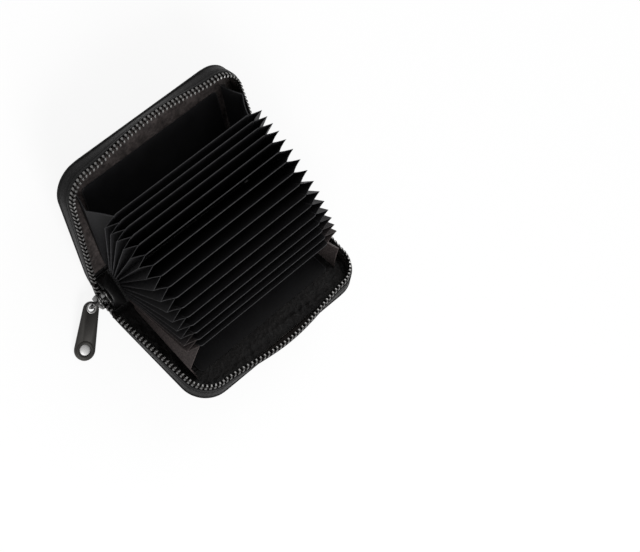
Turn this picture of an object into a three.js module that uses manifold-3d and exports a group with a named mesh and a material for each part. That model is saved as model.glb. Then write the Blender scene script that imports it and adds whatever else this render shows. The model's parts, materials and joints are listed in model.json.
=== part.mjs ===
// A zip-around card holder, standing open on its spine with its accordion of card pockets fanned out.
// Millimetres, +Z up, +X along the spine, origin at the middle of the spine's underside.
// The front cover leans to +Y and the rear cover to -Y. The slider waits at the -X end.

import * as THREE from 'three'
import { mergeVertices } from 'three/addons/utils/BufferGeometryUtils.js'
import Module from 'manifold-3d'

const wasm = await Module()
wasm.setup()

// Driving sizes of the case
const coverDepth = 64
const closedThickness = 25
const cornerRadius = 15
const openAngle = THREE.MathUtils.degToRad(58)
const leather = 1.0
const board = 1.0
const lining = 0.5
const layerGap = 0.1
const foldGap = 0.3
const turnedEdge = 0.3
const tonguePuff = 3.0
const tongueRound = 0.8

// Driving sizes of the side wall and the zip
const wallThickness = 1.1
const wallInset = 0.2
const wallRim = 7.8
const mouthFlare = 4.5
const sideFlare = 3.3
const tapeThickness = 0.6
const tapeRim = 8.0
const toothPitch = 2.45
const toothWidth = 1.24
const toothThickness = 2.1
const beadThickness = 0.8
const zipGap = 2.2
const rowStart = 1.6

// Driving sizes of the accordion
const leafCount = 16
const leafWidth = 86
const leafDepth = 52
const endMargin = 12
const leafThickness = 0.5
const leafPitch = 1.16
const leafCorner = 2
const fanAngle = THREE.MathUtils.degToRad(33.8)
const fanSpread = 0.29
const gussetDepth = 7.2
const gussetRootDepth = 1.8
const gussetThickness = 0.9
const gussetTopDrop = 0.8
const gussetRootRise = 1.5
const backStrip = 0.6
const endSheet = 0.4
const endSheetDrop = 5

// Driving sizes of the slider and its pull tab
const plateThickness = 1.1
const plateGap = 0.6
const sliderLength = 8.1
const sliderTopWidth = 8.0
const sliderEndWidth = 5.6
const diamondLength = 2.8
const diamondClearance = 0.3
const railHeight = 0.2
const railWidth = 0.7
const bailWire = 0.6
const tabThickness = 1.5
const tabLength = 20.5
const eyeRadius = 1.8
const eyeRim = 1.4
const eyeletRim = 0.65
const tabShoulder = 4.0
const tabHoleRadius = 2.9
const pressGap = 0.05
const tabEndRim = 2.4
const ringRim = 1.1
const ringHeight = 0.3
const rivetCrown = 0.2
const tabBevel = 0.25
const tabDroop = THREE.MathUtils.degToRad(8)
const tabYaw = THREE.MathUtils.degToRad(228)
const tabSwing = THREE.MathUtils.degToRad(70)
const tabClearance = 0.3

// Sizes and places that follow from the driving sizes
const coverLength = leafWidth + 2 * endMargin
const hingeY = (closedThickness - leather) / 2
const hingeZ = leather / 2
const panelStart = leather / 2 + foldGap
const boardFace = leather / 2 + layerGap
const liningFace = boardFace + board + layerGap
const innerFace = liningFace + lining
const tapePlane = -(wallInset + wallThickness + foldGap + tapeThickness / 2)
const innerInset = tapeThickness / 2 - tapePlane + 2 * layerGap
const toothBase = tapeRim + layerGap
const toothLength = hingeY - zipGap / 2 - toothBase
const beadHeight = toothBase + layerGap + beadThickness / 2
const backTop = leather + layerGap + board + layerGap + backStrip
const leafHingeZ = backTop + foldGap + leafThickness / 2
const chainX = coverLength / 2 + tapePlane + sideFlare
const sliderZ = leather + foldGap
const channel = toothThickness + 2 * plateGap
const tongueInset = channel / 2 + plateThickness + 3 * foldGap

const leatherLook = new THREE.MeshStandardMaterial({ color: 0x1d1d1f, roughness: 0.55, metalness: 0 })
const boardLook = new THREE.MeshStandardMaterial({ color: 0x77706a, roughness: 0.9, metalness: 0 })
const liningLook = new THREE.MeshStandardMaterial({ color: 0x1c1a1b, roughness: 0.8, metalness: 0 })
const leafLook = new THREE.MeshStandardMaterial({ color: 0x202022, roughness: 0.5, metalness: 0 })
const tapeLook = new THREE.MeshStandardMaterial({ color: 0x2a2523, roughness: 0.9, metalness: 0 })
const toothLook = new THREE.MeshStandardMaterial({ color: 0x6a6866, roughness: 0.3, metalness: 1 })
const sliderLook = new THREE.MeshStandardMaterial({ color: 0x6e6c6a, roughness: 0.3, metalness: 1 })
const rivetLook = new THREE.MeshStandardMaterial({ color: 0xb8b7b5, roughness: 0.3, metalness: 1 })
const tabLook = new THREE.MeshStandardMaterial({ color: 0x3e3c38, roughness: 0.4, metalness: 1 })

function namedMesh(name, geometry, look) {
  const mesh = new THREE.Mesh(geometry, look)
  mesh.name = name
  return mesh
}

// A closed solid from points and triangles, turned so that its faces point out
function closedSolid(points, triangles) {
  let volume = 0
  for (const [a, b, c] of triangles) {
    volume += points[a].dot(points[b].clone().cross(points[c]))
  }
  const index = triangles.flatMap(([a, b, c]) => (volume > 0 ? [a, b, c] : [a, c, b]))
  const geometry = new THREE.BufferGeometry()
  geometry.setAttribute('position', new THREE.Float32BufferAttribute(points.flatMap((p) => p.toArray()), 3))
  geometry.setIndex(index)
  return geometry
}

function toManifold(geometry) {
  const bare = new THREE.BufferGeometry()
  bare.setAttribute('position', geometry.getAttribute('position').clone())
  bare.setIndex(geometry.getIndex())
  const merged = mergeVertices(bare, 1e-4)
  const vertProperties = new Float32Array(merged.getAttribute('position').array)
  const triVerts = new Uint32Array(merged.getIndex().array)
  return new wasm.Manifold(new wasm.Mesh({ numProp: 3, vertProperties, triVerts }))
}

function joinSolids(geometries) {
  const joined = geometries.map(toManifold).reduce((whole, piece) => whole.add(piece))
  const mesh = joined.getMesh()
  const geometry = new THREE.BufferGeometry()
  geometry.setAttribute('position', new THREE.Float32BufferAttribute(mesh.vertProperties, 3))
  geometry.setIndex(Array.from(mesh.triVerts))
  return geometry
}

function extruded(shape, depth, options = {}) {
  return new THREE.ExtrudeGeometry(shape, { depth, bevelEnabled: false, curveSegments: 8, ...options })
}

function polygon(points) {
  return new THREE.Shape(points.map(([a, b]) => new THREE.Vector2(a, b)))
}

// A profile drawn in the (y, z) plane and extruded along x, from one x to another
function alongX(shape, from, to, options) {
  const standing = new THREE.Matrix4().makeBasis(
    new THREE.Vector3(0, 1, 0),
    new THREE.Vector3(0, 0, 1),
    new THREE.Vector3(1, 0, 0)
  )
  return extruded(shape, to - from, options).applyMatrix4(standing).translate(from, 0, 0)
}

// The cover's outline in its own (x, r) plane: square at the fold, round at the mouth's corners
function coverOutline(inset, start) {
  const half = coverLength / 2 - inset
  const top = coverDepth - inset
  const radius = cornerRadius - inset
  const shape = new THREE.Shape()
  shape.moveTo(-half, start)
  shape.lineTo(half, start)
  shape.lineTo(half, top - radius)
  shape.absarc(half - radius, top - radius, radius, 0, Math.PI / 2)
  shape.lineTo(-half + radius, top)
  shape.absarc(-half + radius, top - radius, radius, Math.PI / 2, Math.PI)
  return shape
}

// The U-shaped edge that the wall and the zip follow, from one end of the fold round to the other
const sideRun = coverDepth - cornerRadius - rowStart
const cornerRun = (Math.PI / 2) * cornerRadius
const mouthRun = coverLength - 2 * cornerRadius
const edgeRun = 2 * sideRun + 2 * cornerRun + mouthRun

function edgeFrame(along) {
  const half = coverLength / 2
  const top = coverDepth
  const mirrored = along > edgeRun / 2
  const s = mirrored ? edgeRun - along : along
  const side = mirrored ? 1 : -1
  let place
  let outward
  if (s <= sideRun) {
    place = new THREE.Vector2(side * half, rowStart + s)
    outward = new THREE.Vector2(side, 0)
  } else if (s <= sideRun + cornerRun) {
    const turn = (s - sideRun) / cornerRadius
    outward = new THREE.Vector2(side * Math.cos(turn), Math.sin(turn))
    place = new THREE.Vector2(side * (half - cornerRadius), top - cornerRadius)
    place.addScaledVector(outward, cornerRadius)
  } else {
    const run = s - sideRun - cornerRun
    place = new THREE.Vector2(side * (half - cornerRadius - run), top)
    outward = new THREE.Vector2(0, 1)
  }
  return { place, outward }
}

// The wall leans out towards its rim: at each end most by the fold, along the mouth most in the middle
function flare(along, height) {
  const climb = (height - boardFace) / (tapeRim - boardFace)
  const fromFold = Math.min(along, edgeRun - along)
  if (fromFold < sideRun) {
    return sideFlare * (1 - fromFold / sideRun) * climb
  }
  const share = THREE.MathUtils.clamp((along - sideRun - cornerRun) / mouthRun, 0, 1)
  return mouthFlare * Math.sin(Math.PI * share) ** 1.5 * climb
}

function edgePoint(along, outset, height) {
  const { place, outward } = edgeFrame(along)
  const moved = place.addScaledVector(outward, outset + flare(along, height))
  return new THREE.Vector3(moved.x, moved.y, height)
}

function edgeStations() {
  const spans = [
    [sideRun, 3],
    [cornerRun, 5],
    [mouthRun, 12],
    [cornerRun, 5],
    [sideRun, 3]
  ]
  const stations = [0]
  for (const [length, steps] of spans) {
    const reached = stations[stations.length - 1]
    for (let i = 1; i <= steps; i += 1) {
      stations.push(reached + (length * i) / steps)
    }
  }
  return stations
}

// A section of (outset, height) pairs swept along the U-shaped edge, its two sides split alike
function sweptAlongEdge(section) {
  const stations = edgeStations()
  const count = section.length
  const points = stations.flatMap((s) => section.map(([outset, height]) => edgePoint(s, outset, height)))
  const triangles = []
  for (let i = 0; i + 1 < stations.length; i += 1) {
    for (let j = 0; j < count; j += 1) {
      const next = (j + 1) % count
      const a = i * count + j
      const b = i * count + next
      if (section[next][1] > section[j][1]) {
        triangles.push([a, b, b + count], [a, b + count, a + count])
      } else {
        triangles.push([a, b, a + count], [b, b + count, a + count])
      }
    }
  }
  const flat = section.map(([outset, height]) => new THREE.Vector2(outset, height))
  const last = (stations.length - 1) * count
  for (const [a, b, c] of THREE.ShapeUtils.triangulateShape(flat, [])) {
    triangles.push([a, c, b], [last + a, last + b, last + c])
  }
  return closedSolid(points, triangles)
}

// One zip tooth in its own plane: a clamped foot, a narrow neck and a wide head
function toothProfile() {
  const half = toothWidth / 2
  const neck = 0.6 * half
  const neckHeight = 0.55 * toothLength
  return polygon([
    [-half, 0],
    [half, 0],
    [neck, neckHeight],
    [half, toothLength],
    [-half, toothLength],
    [-neck, neckHeight]
  ])
}

function toothAlongEdge(along) {
  const { outward } = edgeFrame(along)
  const out = new THREE.Vector3(outward.x, outward.y, 0)
  const up = new THREE.Vector3(0, 0, 1)
  const tangent = up.clone().cross(out).negate()
  const turned = new THREE.Matrix4().makeBasis(tangent, up, out.clone().negate())
  turned.setPosition(edgePoint(along, tapePlane, toothBase))
  const tooth = extruded(toothProfile(), toothThickness)
  tooth.translate(0, 0, -toothThickness / 2)
  return tooth.applyMatrix4(turned)
}

// The tape's corded edge, which the teeth clamp, as a three-sided section
function beadSection() {
  const half = beadThickness / 2
  return [
    [tapePlane - half, beadHeight - half],
    [tapePlane + half, beadHeight - half],
    [tapePlane, beadHeight + half]
  ]
}

function zipTeeth() {
  const margin = toothPitch
  const count = Math.floor((edgeRun - 2 * margin) / toothPitch)
  const first = (edgeRun - count * toothPitch) / 2
  const teeth = [sweptAlongEdge(beadSection())]
  for (let i = 0; i <= count; i += 1) {
    teeth.push(toothAlongEdge(first + i * toothPitch))
  }
  return joinSolids(teeth)
}

function sideWall() {
  const out = -wallInset
  const inner = out - wallThickness
  const chamfer = wallThickness / 3
  return sweptAlongEdge([
    [inner, boardFace],
    [out, boardFace],
    [out, wallRim - chamfer],
    [out - chamfer, wallRim],
    [inner + chamfer, wallRim],
    [inner, wallRim - chamfer]
  ])
}

function zipTape() {
  const half = tapeThickness / 2
  return sweptAlongEdge([
    [tapePlane - half, boardFace],
    [tapePlane + half, boardFace],
    [tapePlane + half, tapeRim],
    [tapePlane - half, tapeRim]
  ])
}

function sheetOutline(half, start, top, corner) {
  const outline = new THREE.Shape()
  outline.moveTo(-half, start)
  outline.lineTo(half, start)
  outline.lineTo(half, top - corner)
  outline.absarc(half - corner, top - corner, corner, 0, Math.PI / 2)
  outline.lineTo(-half + corner, top)
  outline.absarc(-half + corner, top - corner, corner, Math.PI / 2, Math.PI)
  return outline
}

// The accordion's outermost sheet, stuck to a cover's lining with a bare border round it
function coverSheet() {
  const start = backTop + foldGap
  const outline = sheetOutline(leafWidth / 2, start, start + leafDepth - endSheetDrop, leafCorner)
  return extruded(outline, endSheet, { curveSegments: 3 }).translate(0, 0, innerFace + layerGap)
}

// One cover, drawn with x along the fold, y away from it and z inward, then leaned out about its fold
function cover(side, facing) {
  const lean = new THREE.Group()
  lean.position.set(0, hingeY, hingeZ)
  lean.rotation.x = Math.PI / 2 - openAngle
  const panelBevel = {
    bevelEnabled: true,
    bevelThickness: turnedEdge,
    bevelSize: turnedEdge,
    bevelOffset: -turnedEdge,
    bevelSegments: 1
  }
  const panel = extruded(coverOutline(0, panelStart), leather - 2 * turnedEdge, panelBevel)
  panel.translate(0, 0, turnedEdge - leather / 2)
  const stiffener = extruded(coverOutline(innerInset, panelStart + foldGap), board)
  stiffener.translate(0, 0, boardFace)
  const inside = extruded(coverOutline(innerInset, panelStart + foldGap), lining)
  inside.translate(0, 0, liningFace)
  lean.add(namedMesh(`${side}_leather`, panel, leatherLook))
  lean.add(namedMesh(`${side}_board`, stiffener, boardLook))
  lean.add(namedMesh(`${side}_lining`, inside, liningLook))
  lean.add(namedMesh(`${side}_end_sheet`, coverSheet(), leafLook))
  lean.add(namedMesh(`${side}_wall`, sideWall(), leatherLook))
  lean.add(namedMesh(`${side}_zip_tape`, zipTape(), tapeLook))
  lean.add(namedMesh(`${side}_zip_teeth`, zipTeeth(), toothLook))
  const group = new THREE.Group()
  group.rotation.z = facing
  group.add(lean)
  return group
}

// The spine: its leather with half-round edges on the two folds, its board and the accordion's back
function spine() {
  const group = new THREE.Group()
  const round = leather / 2
  const section = new THREE.Shape()
  section.moveTo(-hingeY, 0)
  section.lineTo(hingeY, 0)
  section.absarc(hingeY, round, round, -Math.PI / 2, Math.PI / 2)
  section.lineTo(-hingeY, leather)
  section.absarc(-hingeY, round, round, Math.PI / 2, (3 * Math.PI) / 2)
  const strip = alongX(section, -coverLength / 2, coverLength / 2)
  const boardHalf = chainX - tongueInset
  const boardSide = hingeY - innerFace - foldGap
  const boardBottom = leather + layerGap
  const spineBoard = new THREE.BoxGeometry(2 * boardHalf, 2 * boardSide, board)
  spineBoard.translate(0, 0, boardBottom + board / 2)
  const back = new THREE.BoxGeometry(leafWidth, 2 * boardSide, backStrip)
  back.translate(0, 0, backTop - backStrip / 2)
  group.add(namedMesh('spine_leather', strip, leatherLook))
  group.add(namedMesh('spine_board', spineBoard, boardLook))
  group.add(namedMesh('accordion_back', back, leafLook))
  return group
}

// Where leaf number i is hinged, and how far it leans to +Y; half numbers lie between two leaves
function leafRoot(i) {
  return leafPitch * ((leafCount - 1) / 2 - i)
}

function leafLean(i) {
  const share = 1 - (2 * i) / (leafCount - 1)
  return fanAngle * (share + (fanSpread * Math.sin(Math.PI * share)) / Math.PI)
}

function leafPoint(i, x, reach) {
  const lean = leafLean(i)
  return new THREE.Vector3(x, leafRoot(i) + reach * Math.sin(lean), leafHingeZ + reach * Math.cos(lean))
}

function leaves() {
  const group = new THREE.Group()
  const outline = sheetOutline(leafWidth / 2, 0, leafDepth, leafCorner)
  for (let i = 0; i < leafCount; i += 1) {
    const sheet = extruded(outline, leafThickness, { curveSegments: 3 })
    sheet.translate(0, 0, -leafThickness / 2)
    const leaf = namedMesh(`leaf_${String(i + 1).padStart(2, '0')}`, sheet, leafLook)
    leaf.position.set(0, leafRoot(i), leafHingeZ)
    leaf.rotation.x = Math.PI / 2 - leafLean(i)
    group.add(leaf)
  }
  return group
}

// A point on a cover's inner side, as the open cover stands
function coverPoint(facing, x, reach, height) {
  const y = hingeY + reach * Math.sin(openAngle) - height * Math.cos(openAngle)
  const z = hingeZ + reach * Math.cos(openAngle) + height * Math.sin(openAngle)
  return new THREE.Vector3(x, facing * y, z)
}

// A sheet that passes from line to line, each a root and a top point, with its thickness along x
function foldedSheet(lines, thickness) {
  const points = []
  for (const [root, top] of lines) {
    for (const shift of [-thickness / 2, thickness / 2]) {
      points.push(root.clone().setX(root.x + shift))
      points.push(top.clone().setX(top.x + shift))
    }
  }
  const ring = [0, 1, 3, 2]
  const triangles = []
  for (let i = 0; i + 1 < lines.length; i += 1) {
    for (let j = 0; j < ring.length; j += 1) {
      const a = 4 * i + ring[j]
      const b = 4 * i + ring[(j + 1) % ring.length]
      triangles.push([a, b, b + 4], [a, b + 4, a + 4])
    }
  }
  const last = 4 * (lines.length - 1)
  triangles.push([0, 3, 1], [0, 2, 3], [last, last + 1, last + 3], [last, last + 3, last + 2])
  return closedSolid(points, triangles)
}

// The pleated end of the accordion: a sheet folded out between every two leaves, and out to each cover
function gusset(end) {
  const valley = leafWidth / 2 + foldGap + gussetThickness / 2
  const topReach = leafDepth - gussetTopDrop
  const lines = []
  const leafLine = (i) => [leafPoint(i, valley, gussetRootRise), leafPoint(i, valley, topReach)]
  const peakLine = (i) => [
    leafPoint(i, leafWidth / 2 + gussetRootDepth, gussetRootRise),
    leafPoint(i, leafWidth / 2 + gussetDepth, topReach)
  ]
  const coverLine = (facing) => [
    coverPoint(facing, valley + gussetRootDepth, panelStart + gussetDepth, innerFace + foldGap),
    coverPoint(facing, valley + gussetDepth / 2, topReach, innerFace + foldGap)
  ]
  const sideLine = (facing, i) => {
    const [coverRoot, coverTop] = coverLine(facing)
    const [leafRootPoint, leafTop] = leafLine(i)
    const root = coverRoot.lerp(leafRootPoint, 0.5).setX(valley + gussetRootDepth)
    const top = coverTop.lerp(leafTop, 0.5).setX(valley + gussetDepth)
    return [root, top]
  }
  lines.push(coverLine(1), sideLine(1, 0))
  for (let i = 0; i < leafCount; i += 1) {
    lines.push(leafLine(i))
    if (i + 1 < leafCount) {
      lines.push(peakLine(i + 0.5))
    }
  }
  lines.push(sideLine(-1, leafCount - 1), coverLine(-1))
  for (const point of lines.flat()) {
    point.x *= end
  }
  return foldedSheet(lines, gussetThickness)
}

// The loose end of one zip row: the tape's web from the cover's edge to the spine, with its last teeth
function zipTail(end, facing) {
  const clear = zipGap / 2
  const bottom = leather + foldGap
  const reach = rowStart - foldGap
  const plane = end * chainX
  const slope = new THREE.Vector3(0, facing * Math.sin(openAngle), Math.cos(openAngle))
  const start = coverPoint(facing, plane, reach, beadHeight)
  const run = (Math.abs(start.y) - clear) / Math.sin(openAngle)
  const foot = start.clone().addScaledVector(slope, -run)
  const lowered = end * (chainX - sideFlare)
  const bend = new THREE.Vector3((plane + lowered) / 2, facing * (hingeY - leather), bottom)
  const web = [
    [new THREE.Vector3(plane, facing * clear, bottom), foot],
    [bend, foot.clone().lerp(start, 0.5)],
    [coverPoint(facing, lowered, reach, boardFace + leather), start]
  ]
  const pieces = [foldedSheet(web, tapeThickness)]
  const up = new THREE.Vector3(0, -facing * Math.cos(openAngle), Math.sin(openAngle))
  const turned = new THREE.Matrix4().makeBasis(slope, up, slope.clone().cross(up))
  const count = Math.floor(run / toothPitch)
  for (let i = 0; i < count; i += 1) {
    const base = start.clone().addScaledVector(slope, -(i + 0.5) * toothPitch)
    turned.setPosition(base.addScaledVector(up, toothBase - beadHeight))
    const tooth = extruded(toothProfile(), toothThickness)
    tooth.translate(0, 0, -toothThickness / 2)
    pieces.push(tooth.applyMatrix4(turned))
  }
  return joinSolids(pieces)
}

// The puffed tongue that closes each end of the spine, between the zip and the accordion
function endTongue(end) {
  const outer = end * (chainX - tongueInset - tongueRound)
  const inner = end * (chainX - tongueInset - tonguePuff + tongueRound)
  const half = hingeY / 2
  const bottom = leather + board + 2 * layerGap + foldGap
  const top = sliderZ + sliderLength
  const shape = new THREE.Shape()
  shape.moveTo(-half, bottom)
  shape.lineTo(half, bottom)
  shape.absarc(0, top - half, half, 0, Math.PI)
  const puffed = {
    bevelEnabled: true,
    bevelThickness: tongueRound,
    bevelSize: tongueRound,
    bevelOffset: -tongueRound,
    bevelSegments: 2
  }
  return alongX(shape, Math.min(outer, inner), Math.max(outer, inner), puffed)
}

// The slider: two plates joined by a diamond at the throat, with low rails down both sides
function sliderBody() {
  const halfTop = sliderTopWidth / 2
  const halfEnd = sliderEndWidth / 2
  const round = halfEnd / 2
  const shoulder = 0.6 * sliderLength
  const plate = new THREE.Shape()
  plate.moveTo(-halfEnd + round, 0)
  plate.lineTo(halfEnd - round, 0)
  plate.quadraticCurveTo(halfEnd, 0, halfEnd, round)
  plate.lineTo(halfTop, shoulder)
  plate.quadraticCurveTo(halfTop, sliderLength, halfTop / 2, sliderLength)
  plate.quadraticCurveTo(0, sliderLength - plateThickness, -halfTop / 2, sliderLength)
  plate.quadraticCurveTo(-halfTop, sliderLength, -halfTop, shoulder)
  plate.lineTo(-halfEnd, round)
  plate.quadraticCurveTo(-halfEnd, 0, -halfEnd + round, 0)
  const diamondHalf = zipGap / 2 - diamondClearance
  const diamondTop = sliderLength - plateThickness
  const diamond = polygon([
    [0, diamondTop - diamondLength],
    [diamondHalf, diamondTop - diamondLength / 3],
    [diamondHalf / 2, diamondTop],
    [-diamondHalf / 2, diamondTop],
    [-diamondHalf, diamondTop - diamondLength / 3]
  ])
  const face = channel / 2
  const overlap = plateThickness / 2
  const pieces = [
    alongX(plate, face, face + plateThickness),
    alongX(plate, -face - plateThickness, -face),
    alongX(diamond, -face - overlap, face + overlap)
  ]
  for (const side of [1, -1]) {
    const rail = polygon([
      [side * halfEnd, round],
      [side * halfTop, shoulder],
      [side * (halfTop - railWidth), shoulder],
      [side * (halfEnd - railWidth), round]
    ])
    pieces.push(alongX(rail, face - railHeight, face + overlap))
    pieces.push(alongX(rail, -face - overlap, -face + railHeight))
  }
  return joinSolids(pieces).translate(-chainX, 0, sliderZ)
}

const plateFaceX = -chainX - channel / 2 - plateThickness
const shoulderX = tabShoulder - eyeRadius - eyeRim
const bailReach = tabShoulder - shoulderX * Math.cos(tabSwing) + tabClearance
const bailX = plateFaceX - bailReach
const eyeZ = sliderZ + sliderLength / 2

// The bail: a bent wire arch along the outer plate, which the tab's eye hangs on
function sliderBail() {
  const foot = sliderLength / 2 - 2 * bailWire
  const bend = bailReach / 2
  const knee = bailX + bend
  const start = plateFaceX - layerGap
  const at = (x, z) => new THREE.Vector3(x, 0, eyeZ + z)
  const path = new THREE.CurvePath()
  path.add(new THREE.LineCurve3(at(start, -foot), at(knee, -foot)))
  path.add(new THREE.QuadraticBezierCurve3(at(knee, -foot), at(bailX, -foot), at(bailX, -foot + bend)))
  path.add(new THREE.LineCurve3(at(bailX, -foot + bend), at(bailX, foot - bend)))
  path.add(new THREE.QuadraticBezierCurve3(at(bailX, foot - bend), at(bailX, foot), at(knee, foot)))
  path.add(new THREE.LineCurve3(at(knee, foot), at(start, foot)))
  const sides = 8
  const wire = polygon(
    Array.from({ length: sides }, (_, i) => {
      const turn = (2 * Math.PI * i) / sides
      return [bailWire * Math.cos(turn), bailWire * Math.sin(turn)]
    })
  )
  return new THREE.ExtrudeGeometry(wire, { extrudePath: path, steps: 12, bevelEnabled: false })
}

// The pull tab: a flat bar that widens from its eye to a round end, bored for its eyelet and its rivet
function pullTab() {
  const large = tabHoleRadius + tabEndRim
  const turn = Math.acos((tabShoulder - large) / (tabLength - shoulderX))
  const outline = new THREE.Shape()
  outline.absarc(shoulderX, 0, tabShoulder, turn, 2 * Math.PI - turn)
  outline.absarc(tabLength, 0, large, -turn, turn)
  const eye = new THREE.Path()
  eye.absarc(0, 0, eyeRadius + eyeletRim + pressGap, 0, 2 * Math.PI, true)
  const hole = new THREE.Path()
  hole.absarc(tabLength, 0, tabHoleRadius, 0, 2 * Math.PI, true)
  outline.holes.push(eye, hole)
  const bar = extruded(outline, tabThickness - 2 * tabBevel, {
    bevelEnabled: true,
    bevelThickness: tabBevel,
    bevelSize: tabBevel,
    bevelOffset: -tabBevel,
    bevelSegments: 1
  })
  bar.translate(0, 0, tabBevel - tabThickness / 2)
  const inner = tabHoleRadius
  const outer = tabHoleRadius + ringRim
  const half = tabThickness / 2 + ringHeight
  const section = [
    [inner, -half],
    [outer, -half],
    [outer, half],
    [inner, half],
    [inner, -half]
  ].map(([r, h]) => new THREE.Vector2(r, h))
  const ring = new THREE.LatheGeometry(section, 18)
  ring.rotateX(Math.PI / 2)
  ring.translate(tabLength, 0, 0)
  return joinSolids([bar, ring])
}

// A turned piece from (radius, height) pairs, lying in the tab's plane
function turnedOnTab(profile, at) {
  const section = profile.map(([radius, height]) => new THREE.Vector2(radius, height))
  return new THREE.LatheGeometry(section, 18).rotateX(Math.PI / 2).translate(at, 0, 0)
}

function tabEyelet() {
  const half = tabThickness / 2 + tabBevel / 2
  const outer = eyeRadius + eyeletRim
  const round = eyeletRim / 3
  return turnedOnTab(
    [
      [eyeRadius, -half],
      [outer - round, -half],
      [outer, -half + round],
      [outer, half - round],
      [outer - round, half],
      [eyeRadius, half],
      [eyeRadius, -half]
    ],
    0
  )
}

function tabRivet() {
  const edge = tabThickness / 2
  const radius = tabHoleRadius - pressGap
  return turnedOnTab(
    [
      [0, -edge - rivetCrown],
      [radius / 2, -edge - 0.75 * rivetCrown],
      [radius, -edge],
      [radius, edge],
      [radius / 2, edge + 0.75 * rivetCrown],
      [0, edge + rivetCrown]
    ],
    tabLength
  )
}

const holder = new THREE.Group()
holder.add(spine())
holder.add(cover('front', 0))
holder.add(cover('rear', Math.PI))
holder.add(leaves())

for (const [end, sign] of [['left', -1], ['right', 1]]) {
  holder.add(namedMesh(`${end}_gusset`, gusset(sign), leafLook))
  holder.add(namedMesh(`${end}_tongue`, endTongue(sign), leatherLook))
  holder.add(namedMesh(`front_${end}_zip_tail`, zipTail(sign, 1), tapeLook))
  holder.add(namedMesh(`rear_${end}_zip_tail`, zipTail(sign, -1), tapeLook))
}

holder.add(namedMesh('slider_body', sliderBody(), sliderLook))
holder.add(namedMesh('slider_bail', sliderBail(), sliderLook))

const tab = new THREE.Group()
tab.add(namedMesh('pull_tab', pullTab(), tabLook))
tab.add(namedMesh('pull_tab_eyelet', tabEyelet(), rivetLook))
tab.add(namedMesh('pull_tab_rivet', tabRivet(), rivetLook))
tab.position.set(bailX, 0, eyeZ)
tab.rotation.order = 'ZYX'
tab.rotation.z = tabYaw
tab.rotation.y = tabDroop
holder.add(tab)

export default holder
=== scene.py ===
# A zip-around card holder standing open on its spine: leather covers, a metal zip and a fan of card pockets.
# The frame is the solids' own: +X along the spine, +Z up, the front cover leaning to +Y.
# Shapes are worked out in millimetres and scaled to metres as each piece is finished.

import json
import math

import bmesh
import bpy
from mathutils import Matrix, Vector


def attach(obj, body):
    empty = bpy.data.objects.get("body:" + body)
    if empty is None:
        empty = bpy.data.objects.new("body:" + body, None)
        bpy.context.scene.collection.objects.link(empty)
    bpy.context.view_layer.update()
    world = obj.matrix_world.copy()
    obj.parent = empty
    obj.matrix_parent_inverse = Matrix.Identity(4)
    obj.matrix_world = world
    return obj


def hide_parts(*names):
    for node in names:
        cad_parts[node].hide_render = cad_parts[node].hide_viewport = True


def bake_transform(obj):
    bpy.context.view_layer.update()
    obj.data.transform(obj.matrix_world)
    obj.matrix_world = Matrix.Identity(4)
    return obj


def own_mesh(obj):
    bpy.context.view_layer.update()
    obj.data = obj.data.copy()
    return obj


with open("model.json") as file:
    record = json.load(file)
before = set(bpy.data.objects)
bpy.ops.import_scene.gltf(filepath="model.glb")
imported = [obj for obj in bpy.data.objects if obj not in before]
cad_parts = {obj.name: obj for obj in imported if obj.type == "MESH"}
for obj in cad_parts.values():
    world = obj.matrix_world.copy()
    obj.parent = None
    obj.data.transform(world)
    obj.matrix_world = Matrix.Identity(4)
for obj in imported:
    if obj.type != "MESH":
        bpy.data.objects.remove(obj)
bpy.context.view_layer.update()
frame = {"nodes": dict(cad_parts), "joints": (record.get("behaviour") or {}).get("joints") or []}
joints = {joint["name"]: joint for joint in frame["joints"]}
nodes = frame["nodes"]
MM = 0.001

# Sizes of the case
HINGE_Y, HINGE_Z = (value / MM for value in joints["front_cover_hinge"]["pos_m"][1:])
OPEN_ANGLE = math.radians(joints["front_cover_hinge"]["range_deg"][1])
COVER_DEPTH = 64
CORNER = 15
LEATHER = 1.0
BOARD = 1.0
LINING = 0.5
WRINKLE = 0.7
WRINKLE_FADE = 2.5
LAYER_GAP = 0.1
FOLD_GAP = 0.3
FOLD_REACH = 4.5
PANEL_PUFF = 0.5
PIPING = 0.62
LEATHER_RIM = 0.3
INNER_INSET = 2.4
CLOTH_RIM = 0.12

# Sizes of the side wall and the zip
WALL_THICKNESS = 1.1
WALL_INSET = 0.35
WALL_FOOT = 0.3
WALL_MIDDLE = 4.0
WALL_RIM = 7.8
WALL_PUFF = 0.16
GROOVE_DEPTH = 0.14
GROOVE_WIDTH = 0.4
GROOVE_DROP = 1.0
MOUTH_FLARE = 4.5
MOUTH_CURVE = 1.5
SIDE_FLARE = 3.3
TAPE_PLANE = -1.9
TAPE_THICKNESS = 0.6
TAPE_STEPS = (3.0, 6.0)
TAPE_RIM = 8.0
TAIL_RIM = 0.1
TAIL_SLACK = 0.25
CORD_RADIUS = 0.48
CORD_RISE = 0.5
TOOTH_PITCH = 2.45
TOOTH_WIDTH = 1.4
TOOTH_THICKNESS = 2.1
TOOTH_FOOT = 0.35
TOOTH_RIM = 0.2
TOOTH_SLANT = 0.22
TIP_TAPER = 0.55
ZIP_GAP = 2.2
ROW_START = 1.6

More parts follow.
